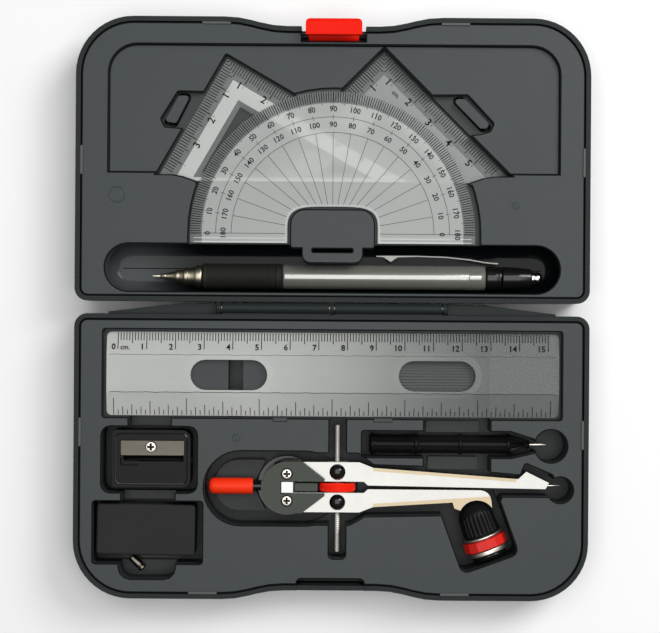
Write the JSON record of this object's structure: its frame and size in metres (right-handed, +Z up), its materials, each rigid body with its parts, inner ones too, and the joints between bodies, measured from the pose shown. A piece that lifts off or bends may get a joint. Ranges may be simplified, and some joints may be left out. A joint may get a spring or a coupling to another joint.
{
  "type": "drafting compass set",
  "caption": "Hinged two-part case with moulded trays holding a bow compass, ruler, set squares, protractor, mechanical pencil, sharpener, eraser and pricker.",
  "frame": {"origin": "on the hinge line, midway along it, at the level of the surface that both halves of the open case lie on", "axes": "+X along the hinge line, +Y from the hinge towards the lid's latch, +Z up out of the open case"},
  "size_m": [0.179, 0.2024, 0.025],
  "materials": {
    "case_shell": "fine satin moulded plastic",
    "case_tray": "fine satin moulded plastic",
    "latch_red": "gloss",
    "clear_plastic": "polished clear acrylic with printed scales",
    "black_plastic": "satin black",
    "head_grey": "satin",
    "red_plastic": "semi gloss",
    "nickel": "nickel plated, polished",
    "steel": "ground steel",
    "grip_rubber": "finely ringed",
    "smoke_plastic": "smoky translucent",
    "eraser_black": "matt",
    "white_tag": "satin"
  },
  "bodies": {
    "base": {"base_shell": "case_shell", "base_tray": "case_tray", "hinge_pin": "steel"},
    "lid": {"lid_shell": "case_shell", "lid_tray": "case_tray", "latch_pin": "steel"},
    "latch": {"latch": "latch_red"},
    "set_square_45": {"set_square_45": "clear_plastic"},
    "set_square_60": {"set_square_60": "clear_plastic"},
    "protractor": {"protractor": "clear_plastic"},
    "pencil": {"pencil_lead_sleeve": "steel", "pencil_tip_cone": "nickel", "pencil_grip": "grip_rubber", "pencil_barrel": "smoke_plastic", "pencil_trim_ring": "black_plastic", "pencil_end_cap": "black_plastic", "pencil_clip": "steel"},
    "pencil_button": {"pencil_push_button": "steel"},
    "ruler": {"ruler": "clear_plastic"},
    "sharpener": {"sharpener_body": "black_plastic", "sharpener_blade": "steel", "sharpener_screw": "steel"},
    "eraser": {"eraser": "eraser_black"},
    "pricker": {"pricker_handle": "black_plastic", "pricker_needle": "steel"},
    "spare_point": {"spare_point": "steel"},
    "compass_head": {"compass_handle_cap": "red_plastic", "compass_head_back": "black_plastic", "compass_head_front": "head_grey", "compass_pivot_screw_upper": "nickel", "compass_pivot_screw_lower": "nickel", "compass_head_tag": "white_tag"},
    "needle_leg": {"compass_needle_arm": "nickel", "compass_needle": "steel"},
    "adaptor_leg": {"compass_adaptor_arm": "nickel"},
    "nut_upper": {"compass_nut_upper": "black_plastic"},
    "nut_lower": {"compass_nut_lower": "black_plastic"},
    "yoke": {"compass_yoke": "head_grey"},
    "spindle": {"compass_spindle": "nickel", "compass_wheel": "red_plastic"},
    "adaptor": {"adaptor_barrel": "black_plastic", "adaptor_ferrule": "nickel", "adaptor_jaw": "black_plastic"},
    "clamp_ring": {"adaptor_clamp_ring": "red_plastic"}
  },
  "joints": [
    {"name": "lid_hinge", "type": "hinge", "parent": "base", "child": "lid", "pos_m": [0, 0, 0.02015], "axis": [-1, 0, 0], "range_deg": [-180, 0]},
    {"name": "latch_turn", "type": "hinge", "parent": "lid", "child": "latch", "pos_m": [0, 0.0952, 0.0155], "axis": [-1, 0, 0], "range_deg": [0, 70]},
    {"name": "set_square_45_lift", "type": "slide", "parent": "lid", "child": "set_square_45", "axis": [0, 0, 1], "range_m": [0, 0.03]},
    {"name": "set_square_60_lift", "type": "slide", "parent": "set_square_45", "child": "set_square_60", "axis": [0, 0, 1], "range_m": [0, 0.03]},
    {"name": "protractor_lift", "type": "slide", "parent": "set_square_60", "child": "protractor", "axis": [0, 0, 1], "range_m": [0, 0.03]},
    {"name": "pencil_lift", "type": "slide", "parent": "lid", "child": "pencil", "axis": [0, 0, 1], "range_m": [0, 0.04]},
    {"name": "pencil_button_press", "type": "slide", "parent": "pencil", "child": "pencil_button", "axis": [-1, 0, 0], "range_m": [0, 0.0025], "stiffness_N_per_m": 150, "springref_m": -0.002},
    {"name": "ruler_lift", "type": "slide", "parent": "base", "child": "ruler", "axis": [0, 0, 1], "range_m": [0, 0.03]},
    {"name": "sharpener_lift", "type": "slide", "parent": "base", "child": "sharpener", "axis": [0, 0, 1], "range_m": [0, 0.04]},
    {"name": "eraser_lift", "type": "slide", "parent": "base", "child": "eraser", "axis": [0, 0, 1], "range_m": [0, 0.04]},
    {"name": "pricker_lift", "type": "slide", "parent": "base", "child": "pricker", "axis": [0, 0, 1], "range_m": [0, 0.04]},
    {"name": "spare_point_lift", "type": "slide", "parent": "base", "child": "spare_point", "axis": [0, 0, 1], "range_m": [0, 0.03]},
    {"name": "compass_lift", "type": "slide", "parent": "base", "child": "compass_head", "axis": [0, 0, 1], "range_m": [0, 0.16]},
    {"name": "needle_leg_open", "type": "hinge", "parent": "compass_head", "child": "needle_leg", "pos_m": [-0.0154, -0.0579, 0.0117], "axis": [0, 0, 1], "range_deg": [0, 25]},
    {"name": "adaptor_leg_open", "type": "hinge", "parent": "compass_head", "child": "adaptor_leg", "pos_m": [-0.0154, -0.0673, 0.0117], "axis": [0, 0, -1], "range_deg": [0, 25]},
    {"name": "nut_upper_turn", "type": "hinge", "parent": "needle_leg", "child": "nut_upper", "pos_m": [0.0023, -0.0573, 0.0117], "axis": [0, 0, -1], "range_deg": [0, 25]},
    {"name": "nut_lower_turn", "type": "hinge", "parent": "adaptor_leg", "child": "nut_lower", "pos_m": [0.0023, -0.0679, 0.0117], "axis": [0, 0, 1], "range_deg": [0, 25]},
    {"name": "yoke_slide", "type": "slide", "parent": "compass_head", "child": "yoke", "axis": [-1, 0, 0], "range_m": [0, 0.0014]},
    {"name": "wheel_turn", "type": "hinge", "parent": "yoke", "child": "spindle", "pos_m": [0.0023, -0.0626, 0.0117], "axis": [0, 1, 0], "range_deg": [0, 3780]},
    {"name": "knee_swing", "type": "hinge", "parent": "adaptor_leg", "child": "adaptor", "pos_m": [0.05136, -0.0735, 0.0117], "axis": [0, 0, 1], "range_deg": [-20, 20]},
    {"name": "clamp_ring_turn", "type": "hinge", "parent": "adaptor", "child": "clamp_ring", "pos_m": [0.0544, -0.08186, 0.0117], "axis": [0.342, -0.9397, 0], "range_deg": [0, 360]}
  ],
  "couplings": [
    {"joint": "needle_leg_open", "follows": "compass_lift", "rad_per_m": 2.727},
    {"joint": "adaptor_leg_open", "follows": "compass_lift", "rad_per_m": 2.727},
    {"joint": "nut_upper_turn", "follows": "compass_lift", "rad_per_m": 2.727},
    {"joint": "nut_lower_turn", "follows": "compass_lift", "rad_per_m": 2.727},
    {"joint": "yoke_slide", "follows": "compass_lift", "ratio": 0.0087},
    {"joint": "wheel_turn", "follows": "compass_lift", "rad_per_m": 412},
    {"joint": "knee_swing", "follows": "compass_lift", "rad_per_m": 2.18}
  ]
}
